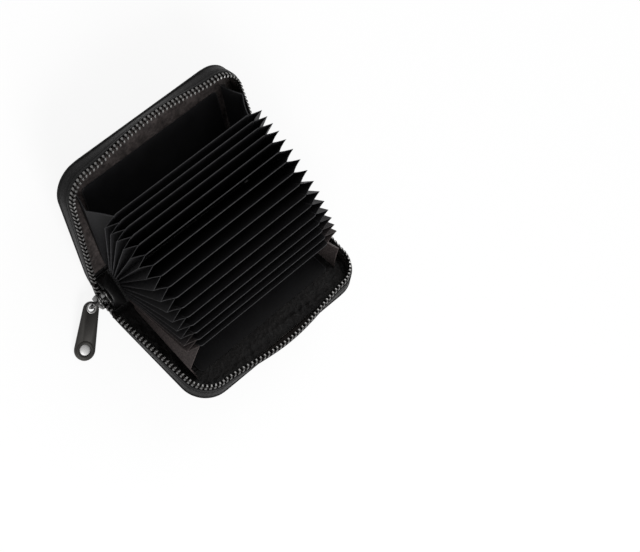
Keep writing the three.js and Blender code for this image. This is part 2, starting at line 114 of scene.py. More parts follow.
# Sizes of the accordion
LEAF_COUNT = 16
LEAF_WIDTH = 86
LEAF_DEPTH = 52
END_MARGIN = 12
LEAF_THICKNESS = 0.5
LEAF_CORNER = 2
LEAF_RIM = 0.12
LEAF_BOW = 0.18
FAN_SPREAD = 0.29
GUSSET_DEPTH = 7.2
GUSSET_ROOT_DEPTH = 1.8
GUSSET_THICKNESS = 0.6
GUSSET_TOP_DROP = 0.8
GUSSET_ROOT_RISE = 1.5
PLEAT_SLACK = 0.35
PLEAT_SAG = 0.5
END_SHEET = 0.4
END_SHEET_DROP = 5
END_SHEET_RIM = 0.1
BACK_TOP = 2.8
TONGUE_SLOPE = 0.8
TONGUE_ROUNDING = 0.62
TONGUE_TAPER = 0.3

# Sizes of the slider and its pull tab
PLATE_THICKNESS = 1.1
PLATE_RIM = 0.28
PLATE_GAP = 0.6
SLIDER_LENGTH = 8.1
SLIDER_TOP_WIDTH = 8.0
SLIDER_END_WIDTH = 5.6
THROAT_LENGTH = 2.8
THROAT_SHOULDER = 0.9
THROAT_CLEARANCE = 0.3
THROAT_RIM = 0.1
FLANGE_LOW = 1.4
FLANGE_HIGH = 4.8
FLANGE_WIDTH = 0.7
FLANGE_DEPTH = 0.55
FLANGE_SINK = 0.2
FLANGE_RIM = 0.12
LUG_FOOT = 1.15
LUG_HEAD = 0.85
LUG_HEIGHT = 0.5
LUG_RISE = 0.1
BAIL_WIRE = 0.6
TAB_THICKNESS = 1.5
TAB_RIM = 0.28
TAB_LENGTH = 20.5
EYE_RADIUS = 1.8
EYE_RIM = 1.4
EYELET_WIDTH = 0.65
EYELET_LAP = 0.15
EYELET_LIFT = 0.12
EYELET_RIM = 0.16
TAB_SHOULDER = 4.0
RIVET_RADIUS = 2.9
RIVET_LAP = 0.05
RIVET_LIFT = 0.25
RIVET_CROWN = 0.55
BOSS_WIDTH = 1.5
BOSS_LIFT = 0.22
BOSS_RIM = 0.18
TAB_END_RIM = 2.4
TAB_DROOP = math.radians(8)
TAB_YAW = math.radians(228)

# Sizes and places that follow from these
COVER_LENGTH = LEAF_WIDTH + 2 * END_MARGIN
BOARD_FACE = LEATHER / 2 + LAYER_GAP
LINING_FACE = BOARD_FACE + BOARD + LAYER_GAP
INNER_FACE = LINING_FACE + LINING
CORNER_RUN = math.pi / 2 * CORNER
MOUTH_RUN = COVER_LENGTH - 2 * CORNER
TOOTH_BASE = TAPE_RIM + LAYER_GAP
TOOTH_LENGTH = HINGE_Y - ZIP_GAP / 2 - TOOTH_BASE
CORD_HEIGHT = TOOTH_BASE + CORD_RISE
CHAIN_X = COVER_LENGTH / 2 + TAPE_PLANE + SIDE_FLARE
CHANNEL = TOOTH_THICKNESS + 2 * PLATE_GAP
SLIDER_Z = LEATHER + FOLD_GAP
TAB_PLACE = Vector(joints["pull_tab_swing"]["pos_m"]) / MM
LEAF_HINGE_Z = joints["leaf_01_hinge"]["pos_m"][2] / MM
FAN_ANGLE = math.radians(joints["leaf_01_hinge"]["range_deg"][1])
LEAF_PITCH = joints["leaf_01_hinge"]["pos_m"][1] / MM / ((LEAF_COUNT - 1) / 2)

# Colours of pale folds and edges, partly rubbed wear and partly painted highlight, and of the paler rear
# pleats
WEAR_AND_HIGHLIGHT_GREY = (0.075, 0.074, 0.078)
REAR_PLEAT_BROWN = (0.15, 0.122, 0.117)

# How close points join, in millimetres, and how far a surface turns at a sharp rim, in radians
WELD = 1e-4
SHARP_TURN = 1.0

# The floor, the light and the view: places in metres, the lens and its sensor in millimetres
FLOOR_SIZE = 3
FLOOR_DROP = 0.0002
FLOOR_GLOW = 0.88
WORLD_LIGHT = 0.45
LIGHT_TARGET = (0, 0, 0.02)
LENS = 101.5
SENSOR = 36
VIEW_PLACE = (-0.3325, 0.1895, 0.8154)
VIEW_RIGHT = (0.7052, -0.5123, 0.4901)
VIEW_AHEAD = (0.4102, -0.2690, -0.8714)


class Wire:
    """An output of a material's node, with sums that add the nodes they need."""

    def __init__(self, tree, socket=None):
        self.tree = tree
        self.socket = socket

    def node(self, kind, settings, sockets, output=0):
        made = self.tree.nodes.new(kind)
        for name, value in settings.items():
            setattr(made, name, value)
        for name, value in sockets.items():
            if isinstance(value, Wire):
                self.tree.links.new(value.socket, made.inputs[name])
            else:
                made.inputs[name].default_value = value
        return Wire(self.tree, made.outputs[output])

    def math(self, operation, first, second=0.0):
        return self.node("ShaderNodeMath", {"operation": operation}, {0: first, 1: second})

    def __add__(self, other):
        return self.math("ADD", self, other)

    def __sub__(self, other):
        return self.math("SUBTRACT", self, other)

    def __rsub__(self, other):
        return self.math("SUBTRACT", other, self)

    def __mul__(self, other):
        return self.math("MULTIPLY", self, other)

    __radd__ = __add__
    __rmul__ = __mul__

    def smaller(self, other):
        return self.math("MINIMUM", self, other)

    def larger(self, other):
        return self.math("MAXIMUM", self, other)

    def wave(self, turns):
        return self.math("SINE", self * (2 * math.pi * turns)) * 0.5 + 0.5

    def step(self, low, high):
        sockets = {"Value": self, "From Min": low, "From Max": high}
        settings = {"interpolation_type": "SMOOTHSTEP"}
        return self.node("ShaderNodeMapRange", settings, sockets, "Result")

    def colour(self, low, high):
        low, high = (end if isinstance(end, Wire) else (*end, 1) for end in (low, high))
        return self.node("ShaderNodeMix", {"data_type": "RGBA"}, {0: self, 6: low, 7: high}, 2)


class Finish:
    """A material with its shader, the piece's own coordinates and the patterns drawn on them."""

    def __init__(self, name, sockets):
        self.material = bpy.data.materials.new(name)
        self.material.use_nodes = True
        self.tree = self.material.node_tree
        self.shader = self.tree.nodes["Principled BSDF"]
        for socket, value in sockets.items():
            self.shader.inputs[socket].default_value = value
        self.start = Wire(self.tree)
        self.place = self.start.node("ShaderNodeTexCoord", {}, {}, "Object")

    def stretched(self, turn, scale):
        sockets = {"Vector": self.place, "Rotation": turn, "Scale": scale}
        return self.start.node("ShaderNodeMapping", {}, sockets)

    def noise(self, size, detail, place=None):
        sockets = {"Vector": place or self.place, "Scale": 1 / (size * MM), "Detail": detail}
        return self.start.node("ShaderNodeTexNoise", {}, sockets, "Fac")

    def cells(self, size):
        sockets = {"Vector": self.place, "Scale": 1 / (size * MM)}
        return self.start.node("ShaderNodeTexVoronoi", {"feature": "DISTANCE_TO_EDGE"}, sockets, "Distance")

    def flat(self):
        """The piece's flat map as two wires: in millimetres, or counted in pleats along a gusset."""
        map_place = self.start.node("ShaderNodeUVMap", {"uv_map": "UVMap"}, {})
        along = self.start.node("ShaderNodeSeparateXYZ", {}, {0: map_place}, 0)
        across = Wire(self.tree, along.socket.node.outputs[1])
        return along, across

    def feed(self, **wires):
        for name, wire in wires.items():
            self.tree.links.new(wire.socket, self.shader.inputs[name.replace("_", " ")])

    def bump(self, height, depth):
        sockets = {"Strength": 1.0, "Distance": depth * MM, "Height": height}
        self.feed(Normal=self.start.node("ShaderNodeBump", {}, sockets))


def pebbled_leather(name, grain, depth, shine, gloss=0.12):
    """Black leather pressed with a grain of small pebbles."""
    finish = Finish(name, {"Specular IOR Level": gloss})
    pebble = finish.cells(grain).step(0.02, 0.32)
    fine = finish.noise(0.18 * grain, 3.0)
    broad = finish.noise(14.0, 2.0)
    tone = pebble * (0.55 + 0.45 * broad)
    finish.feed(Base_Color=tone.colour((0.002, 0.0019, 0.002), (0.0115, 0.011, 0.0115)))
    finish.feed(Roughness=shine + 0.16 * fine + 0.12 * broad)
    finish.bump(pebble * 0.8 + 0.3 * fine, depth)
    return finish.material


def lining_cloth(name, dark, light):
    """Thin cloth, loosely laid, so that it lies in soft wrinkles."""
    finish = Finish(name, {"Specular IOR Level": 0.12})
    along, across = finish.flat()
    weave = along.wave(1 / 0.55) * across.wave(1 / 0.55)
    mottle = finish.noise(1.5, 4.0).step(0.35, 0.7)
    cloud = finish.noise(6.0, 2.0)
    tone = 0.2 * weave + 0.35 * mottle + 0.45 * cloud.step(0.3, 0.75)
    finish.feed(Base_Color=tone.colour(dark, light))
    finish.feed(Roughness=0.5 - 0.12 * mottle)
    finish.bump(weave * 0.08 + mottle * 0.1 + cloud, 0.7)
    return finish.material


def woven_tape():
    """Dark brown tape with slanting ribs and threads across them."""
    finish = Finish("woven_tape", {"Specular IOR Level": 0.1})
    along, across = finish.flat()
    ribs = (along + 0.5 * across).wave(1 / 0.7)
    threads = across.wave(1 / 0.45)
    fuzz = finish.noise(0.5, 3.0)
    tone = 0.5 * ribs * threads + 0.5 * fuzz
    finish.feed(Base_Color=tone.colour((0.008, 0.007, 0.0067), (0.042, 0.0352, 0.033)))
    finish.feed(Roughness=0.72 + 0.2 * fuzz)
    finish.bump(ribs * 0.6 + threads * 0.4, 0.12)
    return finish.material


def pocket_sheet(name, crease_of):
    """Thin black coated sheet, paler along its creases and edges, partly as rubbed wear and partly as
    painted highlight.
    """
    finish = Finish(name, {"Specular IOR Level": 0.12})
    crease, wear_and_highlight_colour = crease_of(finish)
    grain = finish.noise(0.45, 3.0)
    broad = finish.noise(9.0, 2.0)
    # Pale marks on edges and folds, partly rubbed wear and partly painted highlight
    wear_and_highlight = crease * (0.4 + 0.6 * finish.noise(0.8, 3.0).step(0.3, 0.7))
    tone = (grain * 0.03 + broad * 0.05 + wear_and_highlight * 0.9).smaller(1.0)
    finish.feed(Base_Color=tone.colour((0.0032, 0.0031, 0.0035), wear_and_highlight_colour))
    finish.feed(Roughness=0.44 + 0.18 * broad + 0.1 * wear_and_highlight)
    finish.bump(grain + 0.4 * broad, 0.03)
    return finish.material


def leaf_edges(finish):
    """How pale a leaf is drawn along its sides and its top, partly as rubbed wear and partly as painted
    highlight, and the pale grey it takes there.
    """
    along, across = finish.flat()
    side = along.smaller(LEAF_WIDTH - along)
    rim = side.smaller(LEAF_DEPTH - across)
    return 0.55 - 0.55 * rim.step(0.1, 0.55), WEAR_AND_HIGHLIGHT_GREY


def pleat_folds(finish):
    """How pale a gusset is drawn: on its folds and along its top, partly as rubbed wear and partly as
    painted highlight, and over the last pleats at the rear, which are paler and browner.
    """
    along, across = finish.flat()
    facet_root = math.hypot(GUSSET_ROOT_DEPTH, LEAF_PITCH / 2)
    facet_spread = (GUSSET_DEPTH - GUSSET_ROOT_DEPTH) / LEAF_DEPTH
    offset = finish.start.math("PINGPONG", along + 1.0, 1.0) * (facet_root + facet_spread * across)
    near_root = 1.0 - across * (1 / LEAF_DEPTH)
    fan = along.step(1.5, 2.0) * (1.0 - along.step(2 * LEAF_COUNT, 2 * LEAF_COUNT + 0.5))
    # Pale fold lines across the fan, widest near the root: painted highlight on the folds, partly rubbed
    # wear
    fold_wear_and_highlight = fan * (0.9 - 0.9 * offset.step(0.1, 0.45 + 0.8 * near_root * near_root))
    top_edge = 0.5 - 0.5 * (LEAF_DEPTH - across).step(0.1, 0.45)
    # The last pleats at the rear are drawn paler and browner
    last_pleats = along.step(2 * LEAF_COUNT - 6, 2 * LEAF_COUNT)
    crease = fold_wear_and_highlight.larger(top_edge).larger(0.36 * last_pleats).larger(0.1)
    return crease, last_pleats.colour(WEAR_AND_HIGHLIGHT_GREY, REAR_PLEAT_BROWN)


def grey_board():
    """Pressed grey board, speckled with fibres."""
    finish = Finish("grey_board", {"Specular IOR Level": 0.2})
    fibre = finish.noise(0.6, 4.0)
    finish.feed(Base_Color=fibre.colour((0.13, 0.12, 0.11), (0.26, 0.24, 0.22)))
    finish.feed(Roughness=0.8 + 0.15 * fibre)
    finish.bump(fibre, 0.05)
    return finish.material


def worn_metal(name, dark, light, shine, grain):
    """Plated metal with rubbed patches."""
    finish = Finish(name, {"Metallic": 1.0})
    rub = finish.noise(grain, 3.0)
    cloud = finish.noise(6 * grain, 2.0)
    finish.feed(Base_Color=(0.5 * rub + 0.5 * cloud).colour(dark, light))
    finish.feed(Roughness=shine + 0.18 * rub)
    finish.bump(rub, 0.015)
    return finish.material


def glint_painted_teeth():
    """Plated teeth, dark at the neck, with painted glints on their heads and both sides."""
    finish = Finish("tooth_metal", {"Metallic": 1.0})
    thickness, height = finish.flat()
    rub = finish.noise(0.5, 3.0)
    head = height.step(0.75 * TOOTH_LENGTH, TOOTH_LENGTH)
    edge = finish.start.math("ABSOLUTE", thickness).step(0.3 * TOOTH_THICKNESS, 0.5 * TOOTH_THICKNESS)
    # Painted glints: the head's tip and both sides are drawn bright, their strength varied by noise
    tone = head.larger(0.8 * edge) * (0.4 + 0.6 * rub)
    finish.feed(Base_Color=tone.colour((0.016, 0.0156, 0.0152), (0.27, 0.266, 0.261)))
    finish.feed(Roughness=0.26 + 0.16 * rub)
    finish.bump(rub, 0.015)
    return finish.material


def brushed_tab():
    """Dark metal with fine strokes along the tab."""
    finish = Finish("tab_gunmetal", {"Metallic": 0.75, "Specular IOR Level": 0.4})
    strokes = finish.noise(0.5, 3.0, finish.stretched((0, 0, -TAB_YAW), (0.08, 1, 1)))
    cloud = finish.noise(5.0, 2.0)
    tone = 0.6 * strokes + 0.4 * cloud
    finish.feed(Base_Color=tone.colour((0.0136, 0.0128, 0.0117), (0.0264, 0.0248, 0.0228)))
    finish.feed(Roughness=0.36 + 0.16 * strokes)
    finish.bump(strokes, 0.012)
    return finish.material


cover_leather = pebbled_leather("cover_leather", 0.8, 0.1, 0.36)
wall_leather = pebbled_leather("wall_leather", 0.8, 0.1, 0.34)
tongue_leather = pebbled_leather("tongue_leather", 0.5, 0.03, 0.3, 0.4)
# Both linings are one cloth: the front keeps its brown, the rear is a much darker copy as painted shade
lining_finishes = {
    "front": lining_cloth("brown_cloth", (0.014, 0.0118, 0.0114), (0.068, 0.0568, 0.0545)),
    "rear": lining_cloth("painted_shade_cloth", (0.002, 0.0018, 0.0018), (0.0095, 0.0084, 0.0081)),
}
tape_finish = woven_tape()
leaf_finish = pocket_sheet("leaf_sheet", leaf_edges)
gusset_finish = pocket_sheet("gusset_sheet", pleat_folds)
board_finish = grey_board()
tooth_metal = glint_painted_teeth()
slider_metal = worn_metal("slider_metal", (0.03, 0.0294, 0.0288), (0.16, 0.157, 0.154), 0.2, 0.8)
eyelet_metal = worn_metal("eyelet_metal", (0.07, 0.069, 0.068), (0.30, 0.296, 0.292), 0.26, 0.5)
rivet_metal = worn_metal("rivet_metal", (0.18, 0.178, 0.176), (0.46, 0.456, 0.452), 0.42, 0.35)
tab_metal = brushed_tab()


def mapped_grid(place, columns, rows, size=(1.0, 1.0)):
    """A grid with every vertex moved to place(u, v), both from 0 to 1, and a flat map of a size."""
    bm = bmesh.new()
    layer = bm.loops.layers.uv.new("UVMap")
    bmesh.ops.create_grid(bm, x_segments=columns, y_segments=rows, size=0.5, calc_uvs=True)
    for face in bm.faces:
        for loop in face.loops:
            loop[layer].uv *= Vector(size)
    for vert in bm.verts:
        vert.co = place(vert.co.x + 0.5, vert.co.y + 0.5)
    return bm


def sharp_rims(bm, kept_open=None):
    """The edges where a surface turns sharply, without those whose ends are both to be kept open."""
    turned = [edge for edge in bm.edges if edge.calc_face_angle(0) > SHARP_TURN]
    if kept_open:
        turned = [edge for edge in turned if not all(kept_open(vert.co) for vert in edge.verts)]
    return turned


def bevelled(bm, edges, width, segments):
    """Rounds edges to a width."""
    bmesh.ops.bevel(
        bm, geom=edges, offset=width, segments=segments, profile=0.5, affect="EDGES", material=-1
    )


def thickened(bm, thickness, rim, kept_open=None):
    """Gives a sheet its thickness, half to each side, and rounds its rims."""
    bm.normal_update()
    for vert in bm.verts:
        vert.co += vert.normal * thickness / 2
    bm.normal_update()
    bmesh.ops.solidify(bm, geom=bm.faces[:], thickness=thickness)
    bevelled(bm, sharp_rims(bm, kept_open), rim, 2)
    return bm


def capped(bm):
    """Joins the seam of a tube, fills its open ends and turns its faces outward."""
    bmesh.ops.remove_doubles(bm, verts=bm.verts[:], dist=WELD)
    bmesh.ops.holes_fill(bm, edges=[edge for edge in bm.edges if edge.is_boundary], sides=0)
    bmesh.ops.recalc_face_normals(bm, faces=bm.faces[:])
    return bm


def swept_band(on_path, facing, run, section, columns):
    """A closed section of (outset, height) pairs, carried along a cover's edge and capped at both ends."""
    count = len(section)

    def place(u, v):
        outset, height = section[round(v * count) % count]
        return on_path(facing, u * run, outset, height)

    girth = sum(math.dist(section[i], section[i - 1]) for i in range(count))
    return capped(mapped_grid(place, columns, count, (run, girth)))


def raised(bm, faces, shift):
    """Gives faces a thickness by pulling a copy of them out, and turns all faces outward."""
    pulled = bmesh.ops.extrude_face_region(bm, geom=faces)["geom"]
    pulled = [part for part in pulled if isinstance(part, bmesh.types.BMVert)]
    bmesh.ops.translate(bm, verts=pulled, vec=shift)
    bmesh.ops.recalc_face_normals(bm, faces=bm.faces[:])


def slab(outline, low, depth, rim, segments):
    """A flat outline given depth upward from z = low, its edges rounded."""
    bm = bmesh.new()
    face = bm.faces.new([bm.verts.new((x, y, 0)) for x, y in outline])
    raised(bm, [face], (0, 0, depth))
    bevelled(bm, sharp_rims(bm), rim, segments)
    bmesh.ops.translate(bm, verts=bm.verts[:], vec=(0, 0, low))
    return bm


def add_to(bm, other, place=None):
    """Joins another mesh in progress to bm, moved to a place, and frees it."""
    carrier = bpy.data.meshes.new("carrier")
    other.to_mesh(carrier)
    other.free()
    if place:
        carrier.transform(place)
    bm.from_mesh(carrier)
    bpy.data.meshes.remove(carrier)


def piece(name, bm, finishes, body, stands_for, sharp=35):
    """Makes a mesh in progress a piece of the part, scaled to metres, with its finishes and its body."""
    bmesh.ops.scale(bm, verts=bm.verts[:], vec=(MM, MM, MM))
    mesh = bpy.data.meshes.new(name)
    bm.to_mesh(mesh)
    bm.free()
    mesh.shade_smooth()
    mesh.set_sharp_from_angle(angle=math.radians(sharp))
    made = bpy.data.objects.new(name, mesh)
    bpy.context.scene.collection.objects.link(made)
    for finish in finishes if isinstance(finishes, list) else [finishes]:
        made.data.materials.append(finish)
    if body:
        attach(made, body)
    if stands_for:
        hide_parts(*stands_for)
    return made


def on_cover(facing, x, reach, height):
    """A point of an open cover: x along the fold, reach away from it, height inward from the leather."""
    y = HINGE_Y + reach * math.sin(OPEN_ANGLE) - height * math.cos(OPEN_ANGLE)
    z = HINGE_Z + reach * math.cos(OPEN_ANGLE) + height * math.sin(OPEN_ANGLE)
    return Vector((x, facing * y, z))


def on_wrap(facing, x, distance, height):
    """A point of the leather that wraps the spine and a cover, at a distance from the spine's middle."""
    reach = distance - HINGE_Y
    if reach >= FOLD_REACH:
        return on_cover(facing, x, reach, height)
    if reach <= -FOLD_REACH:
        return Vector((x, facing * distance, HINGE_Z + height))
    share = (reach + FOLD_REACH) / (2 * FOLD_REACH)
    before = Vector((HINGE_Y - FOLD_REACH, HINGE_Z))
    fold = Vector((HINGE_Y, HINGE_Z))
    after = fold + FOLD_REACH * Vector((math.sin(OPEN_ANGLE), math.cos(OPEN_ANGLE)))
    middle = before.lerp(fold, share).lerp(fold.lerp(after, share), share)
    ahead = (fold.lerp(after, share) - before.lerp(fold, share)).normalized()
    return Vector((x, facing * (middle.x - height * ahead.y), middle.y + height * ahead.x))


def round_mouthed(u, v, length, start, depth, corner):
    """Where (u, v) falls on a panel that is square at its fold and round at its mouth's corners."""
    half = length / 2
    straight = 0.6
    if v < straight:
        reach = start + (depth - corner - start) * v / straight
        return (2 * u - 1) * half, reach
    turn = math.pi / 2 * (v - straight) / (1 - straight)
    half -= corner * (1 - math.cos(turn))
    return (2 * u - 1) * half, depth - corner * (1 - math.sin(turn))


def edge_run(start):
    """The length of the cover's U-shaped edge, which begins and ends at reach start."""
    return 2 * (COVER_DEPTH - CORNER - start) + 2 * CORNER_RUN + MOUTH_RUN


def edge_frame(along, start):
    """A place on the cover's U-shaped edge, which begins at reach start, and the way out from it."""
    total = edge_run(start)
    side = 1 if along > total / 2 else -1
    run = min(along, total - along)
    half = COVER_LENGTH / 2
    straight = COVER_DEPTH - CORNER - start
    if run <= straight:
        return Vector((side * half, start + run)), Vector((side, 0))
    if run <= straight + CORNER_RUN:
        turn = (run - straight) / CORNER
        outward = Vector((side * math.cos(turn), math.sin(turn)))
        return Vector((side * (half - CORNER), COVER_DEPTH - CORNER)) + CORNER * outward, outward
    return Vector((side * (half - CORNER - (run - straight - CORNER_RUN)), COVER_DEPTH)), Vector((0, 1))


def wall_flare(along, height):
    """How far the wall leans out: at each end most by the fold, along the mouth most in the middle."""
    climb = max((height - BOARD_FACE) / (TAPE_RIM - BOARD_FACE), 0)
    side = COVER_DEPTH - CORNER - ROW_START
    from_fold = min(along, edge_run(ROW_START) - along)
    if from_fold < side:
        return SIDE_FLARE * (1 - from_fold / side) * climb
    share = min(max((along - side - CORNER_RUN) / MOUTH_RUN, 0), 1)
    return MOUTH_FLARE * math.sin(math.pi * share) ** MOUTH_CURVE * climb


def on_edge(facing, along, outset, height):
    """A point of the wall or the zip, with the wall's lean."""
    place, outward = edge_frame(along, ROW_START)
    moved = place + (outset + wall_flare(along, height)) * outward
    return on_cover(facing, moved.x, moved.y, height)


def on_rim(facing, along, outset, height):
    """A point by the edge of the outer leather, from one side of the spine's middle round to the other."""
    place, outward = edge_frame(along, -HINGE_Y)
    moved = place + outset * outward
    return on_wrap(facing, moved.x, moved.y + HINGE_Y, height)


def round_loop(centre, width, height, count):
    """A closed oval of pairs about (centre, 0)."""
    turns = [2 * math.pi * i / count for i in range(count)]
    return [(centre + width * math.cos(t), height * math.sin(t)) for t in turns]


def half_round(centre, height, radius):
    """The rounded top of a section, from its outer side over to its inner one."""
    turns = [math.pi * i / 6 for i in range(7)]
    return [(centre + radius * math.cos(t), height + radius * math.sin(t)) for t in turns]


def outer_leather(side, facing):
    """One cover's leather with half of the spine's, its turned edge raised as a narrow bead."""
    width = HINGE_Y + COVER_DEPTH

    def place(u, v):
        x, distance = round_mouthed(u, v, COVER_LENGTH, 0, width, CORNER)
        spread = math.cos(math.pi * x / COVER_LENGTH) * math.sin(math.pi * distance / width)
        return on_wrap(facing, x, distance, -PANEL_PUFF * max(spread, 0))

    def at_middle(point):
        return abs(point.y) < 10 * WELD

    bm = thickened(mapped_grid(place, 48, 110), LEATHER, LEATHER_RIM, at_middle)
    bead = round_loop(-PIPING, PIPING, 0.7 * LEATHER, 12)
    add_to(bm, swept_band(on_rim, facing, edge_run(-HINGE_Y), bead, 260))
    stands_for = [f"{side}_leather", "spine_leather"] if facing > 0 else [f"{side}_leather"]
    skin = piece(f"{side}_skin", bm, cover_leather, None, stands_for)
    start = Vector((0, facing * (HINGE_Y - FOLD_REACH), HINGE_Z)) * MM
    end = on_cover(facing, 0, FOLD_REACH, 0) * MM
    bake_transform(skin)


def side_wall(side, facing):
    """The slightly puffed wall on a cover's edge, with a seam's groove below its rounded rim."""
    outer = -WALL_INSET
    inner = outer - WALL_THICKNESS
    round_rim = WALL_THICKNESS / 2
    top = WALL_RIM - round_rim
    groove = top - GROOVE_DROP
    section = [(outer, WALL_FOOT), (outer + 0.75 * WALL_PUFF, WALL_MIDDLE / 2)]
    section += [(outer + WALL_PUFF, WALL_MIDDLE), (outer + 0.5 * WALL_PUFF, groove - GROOVE_WIDTH)]
    section += [(outer - GROOVE_DEPTH, groove), (outer, groove + GROOVE_WIDTH)]
    section += half_round((outer + inner) / 2, top, round_rim)
    section += [(inner, WALL_MIDDLE), (inner, WALL_FOOT)]
    bm = swept_band(on_edge, facing, edge_run(ROW_START), section, 200)
    piece(f"{side}_side_wall", bm, wall_leather, f"{side}_cover", [f"{side}_wall"])


def zip_tape(side, facing):
    """The woven tape inside the wall, with a cord along the edge that the teeth clamp."""
    half = TAPE_THICKNESS / 2
    heights = [BOARD_FACE, *TAPE_STEPS, TAPE_RIM]
    section = [(TAPE_PLANE + half, height) for height in heights]
    section += half_round(TAPE_PLANE, CORD_HEIGHT, CORD_RADIUS)
    section += [(TAPE_PLANE - half, height) for height in reversed(heights)]
    bm = swept_band(on_edge, facing, edge_run(ROW_START), section, 200)
    piece(f"{side}_tape", bm, tape_finish, f"{side}_cover", [f"{side}_zip_tape"])


def tooth_form(finish_number=0):
    """One zip tooth in its own plane: a clamped foot, a narrow neck and a rounded head."""
    half = TOOTH_WIDTH / 2
    neck = 0.55 * half
    right = [
        (half, -TOOTH_FOOT),
        (half, 0.3 * TOOTH_LENGTH),
        (neck, 0.5 * TOOTH_LENGTH),
        (0.9 * half, 0.78 * TOOTH_LENGTH),
        (0.5 * half, TOOTH_LENGTH),
    ]
    outline = right + [(-x, y) for x, y in reversed(right)]
    outline = [(x + TOOTH_SLANT * max(y, 0), y) for x, y in outline]
    bm = slab(outline, -TOOTH_THICKNESS / 2, TOOTH_THICKNESS, TOOTH_RIM, 1)
    layer = bm.loops.layers.uv.new("UVMap")
    for vert in bm.verts:
        vert.co.z *= 1 - TIP_TAPER * max(vert.co.y / TOOTH_LENGTH, 0) ** 2
    for face in bm.faces:
        face.material_index = finish_number
        for loop in face.loops:
            loop[layer].uv = loop.vert.co.zy
    return bm


def standing(place, along, up):
    """A placing whose x runs along a row and whose y points up from it."""
    out = along.cross(up)
    turned = Matrix((along, up, out)).transposed().to_4x4()
    turned.translation = place
    return turned


def zip_teeth(side, facing):
    """A row of teeth, evenly spaced round a cover's edge."""
    bm = bmesh.new()
    run = edge_run(ROW_START)
    count = math.floor((run - 2 * TOOTH_PITCH) / TOOTH_PITCH)
    first = (run - count * TOOTH_PITCH) / 2
    origin = on_cover(facing, 0, 0, 0)
    up = on_cover(facing, 0, 0, 1) - origin
    for i in range(count + 1):
        along = first + i * TOOTH_PITCH
        outward = edge_frame(along, ROW_START)[1]
        out = on_cover(facing, outward.x, outward.y, 0) - origin
        spot = on_edge(facing, along, TAPE_PLANE, TOOTH_BASE)
        add_to(bm, tooth_form(), standing(spot, up.cross(out), up))
    piece(f"{side}_teeth", bm, tooth_metal, f"{side}_cover", [f"{side}_zip_teeth"])


def wrinkle(x, reach):
    """How high the lining's cloth crumples, as a share, only where no leaf closes down on it."""
    beside = abs(x) - LEAF_WIDTH / 2 - GUSSET_DEPTH / 2
    beyond = reach - LEAF_DEPTH - BACK_TOP
    free = min(max(beside, beyond, 0) / WRINKLE_FADE, 1)
    crossed = math.sin(0.8 * reach + 0.5 * x) * math.cos(0.35 * reach - 0.6 * x)
    return free * max(crossed + 0.4 * math.sin(1.3 * x + 0.4 * reach), 0)


def cover_lining(side, facing):
    """The thin cloth inside a cover, held flat at its rims."""
    start = LEATHER / 2 + 2 * FOLD_GAP
    length = COVER_LENGTH - 2 * INNER_INSET
    depth = COVER_DEPTH - INNER_INSET
    corner = CORNER - INNER_INSET
    height = LINING_FACE + LINING / 2

    def place(u, v):
        x, reach = round_mouthed(u, v, length, start, depth, corner)
        held = min(u, 1 - u) * length
        held = min(held, depth - reach, WRINKLE_FADE) / WRINKLE_FADE
        return on_cover(facing, x, reach, height + WRINKLE * held * wrinkle(x, reach))

    bm = thickened(mapped_grid(place, 90, 60, (length, depth - start)), LINING, CLOTH_RIM)
    # The rear cover takes the darker copy of the cloth, which is painted shade
    finish = lining_finishes[side]
    sheet = piece(f"{side}_cloth", bm, finish, f"{side}_cover", [f"{side}_lining"], 60)


def end_sheet(side, facing):
    """The accordion's outermost sheet, stuck to the lining with a bare border round it.

    Its flat map has a leaf's depth, so that its pale rim, partly rubbed wear and partly painted highlight,
    falls on its own edge.
    """
    height = INNER_FACE + LAYER_GAP + END_SHEET / 2
    start = BACK_TOP + FOLD_GAP
    depth = LEAF_DEPTH - END_SHEET_DROP

    def place(u, v):
        x, reach = round_mouthed(u, v, LEAF_WIDTH, start, start + depth, LEAF_CORNER)
        return on_cover(facing, x, reach, height)

    bm = thickened(mapped_grid(place, 40, 30, (LEAF_WIDTH, LEAF_DEPTH)), END_SHEET, END_SHEET_RIM)
    piece(f"{side}_stuck_sheet", bm, leaf_finish, f"{side}_cover", [f"{side}_end_sheet"])


def leaf_lean(number):
    """How far a leaf leans to +Y; half numbers lie between two leaves."""
    share = 1 - 2 * number / (LEAF_COUNT - 1)
    return FAN_ANGLE * (share + FAN_SPREAD * math.sin(math.pi * share) / math.pi)


def on_leaf(number, x, reach, bow=0.0):
    """A point of a leaf: x along the spine, reach up from its hinge, bow out of its plane."""
    lean = leaf_lean(number)
    root = LEAF_PITCH * ((LEAF_COUNT - 1) / 2 - number)
    y = root + reach * math.sin(lean) + bow * math.cos(lean)
    return Vector((x, y, LEAF_HINGE_Z + reach * math.cos(lean) - bow * math.sin(lean)))


def card_leaf(number):
    """One leaf of the fan, with a slight bow of its own."""
    name = f"leaf_{number + 1:02d}"
    swing = math.sin(2.4 * number + 0.7)

    def place(u, v):
        x, reach = round_mouthed(u, v, LEAF_WIDTH, 0, LEAF_DEPTH, LEAF_CORNER)
        wave = math.sin(math.pi * reach / LEAF_DEPTH) * math.cos(math.pi * x / LEAF_WIDTH + swing)
        return on_leaf(number, x, reach, LEAF_BOW * swing * wave)

    bm = thickened(mapped_grid(place, 30, 24, (LEAF_WIDTH, LEAF_DEPTH)), LEAF_THICKNESS, LEAF_RIM)
    piece(f"card_{name}", bm, leaf_finish, name, [name])


